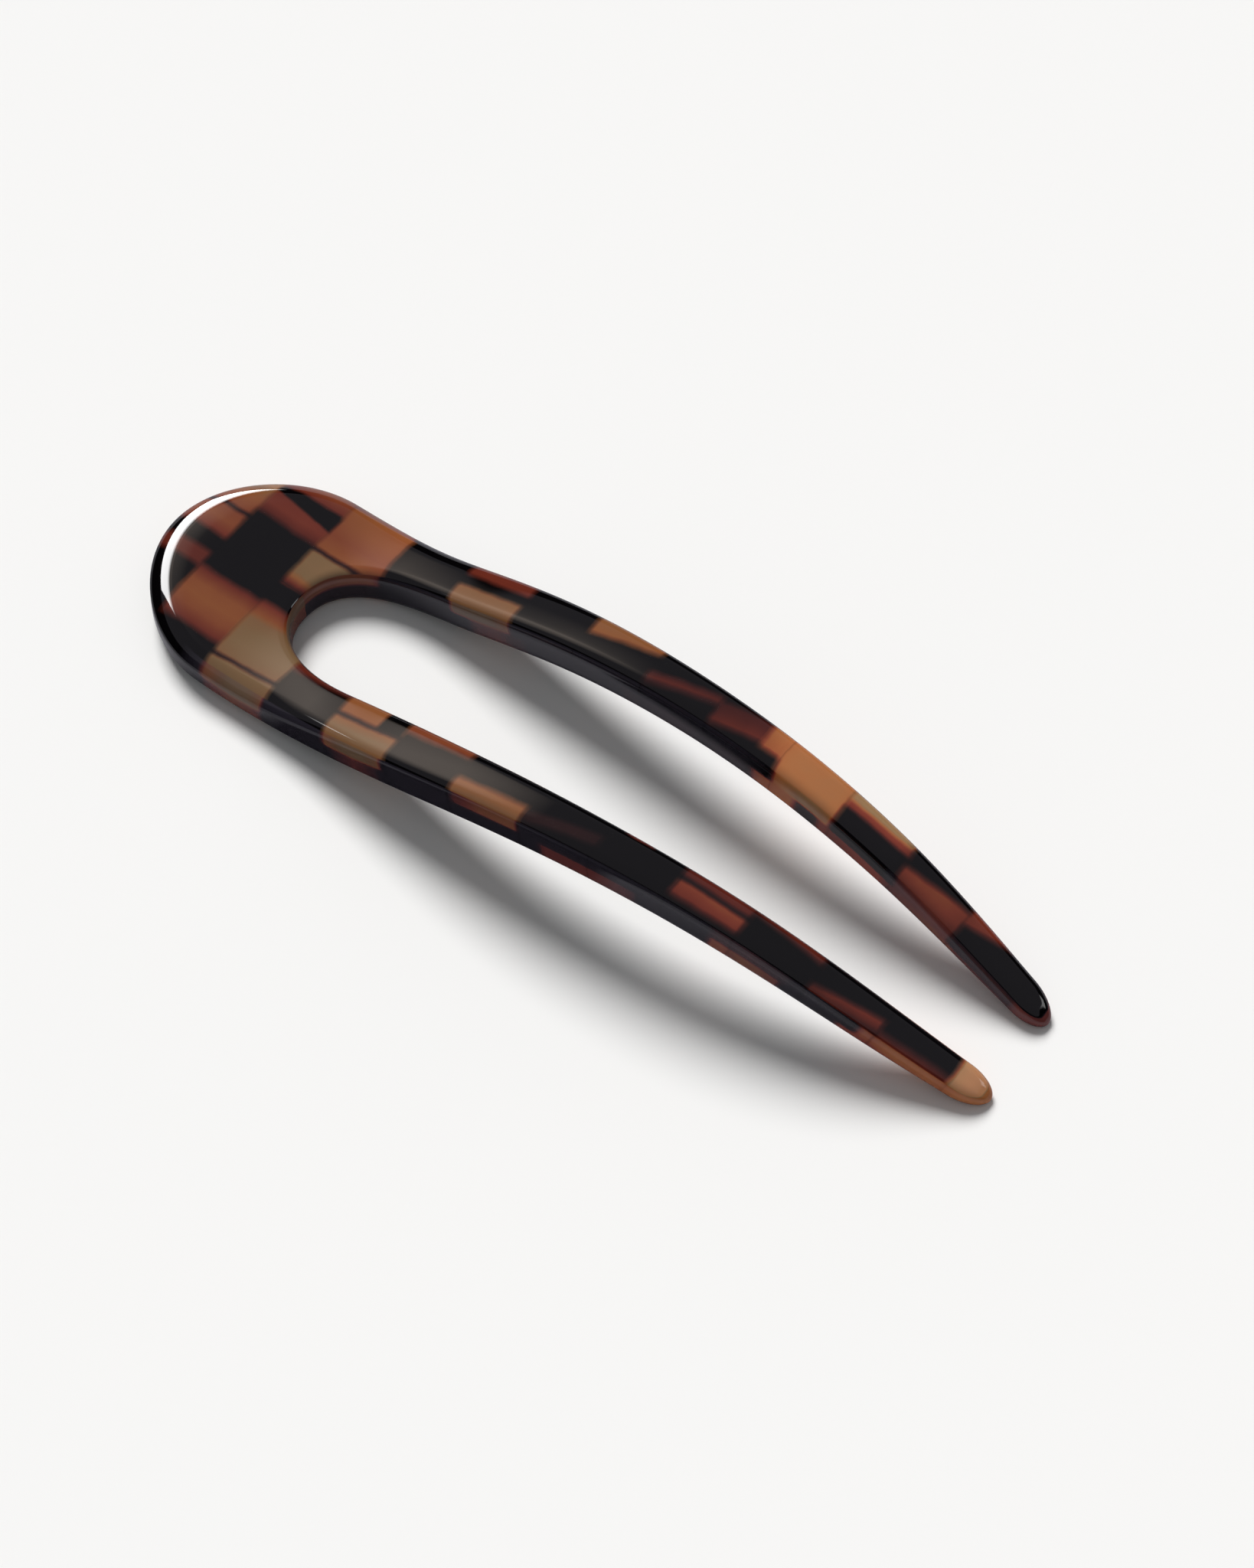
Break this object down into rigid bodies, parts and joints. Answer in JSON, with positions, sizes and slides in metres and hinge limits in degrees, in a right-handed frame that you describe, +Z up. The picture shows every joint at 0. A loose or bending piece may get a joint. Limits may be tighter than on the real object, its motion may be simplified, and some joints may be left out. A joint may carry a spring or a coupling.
{
  "type": "french hair pin",
  "caption": "U-shaped french hair pin in one piece of tortoiseshell acetate, with a round head, a long slot and two arched, tapering prongs.",
  "frame": {"origin": "on the surface that the pin lies on, halfway along it and on its middle line", "axes": "+X from the round head towards the two tips, +Y across the pin, +Z up from the surface it lies on"},
  "size_m": [0.1141, 0.0286, 0.0135],
  "materials": {
    "tortoiseshell_acetate": "polished cellulose acetate with black, brown, amber and honey chips laid in blocks along the pin"
  },
  "bodies": {
    "root": {"pin": "tortoiseshell_acetate"}
  },
  "joints": []
}
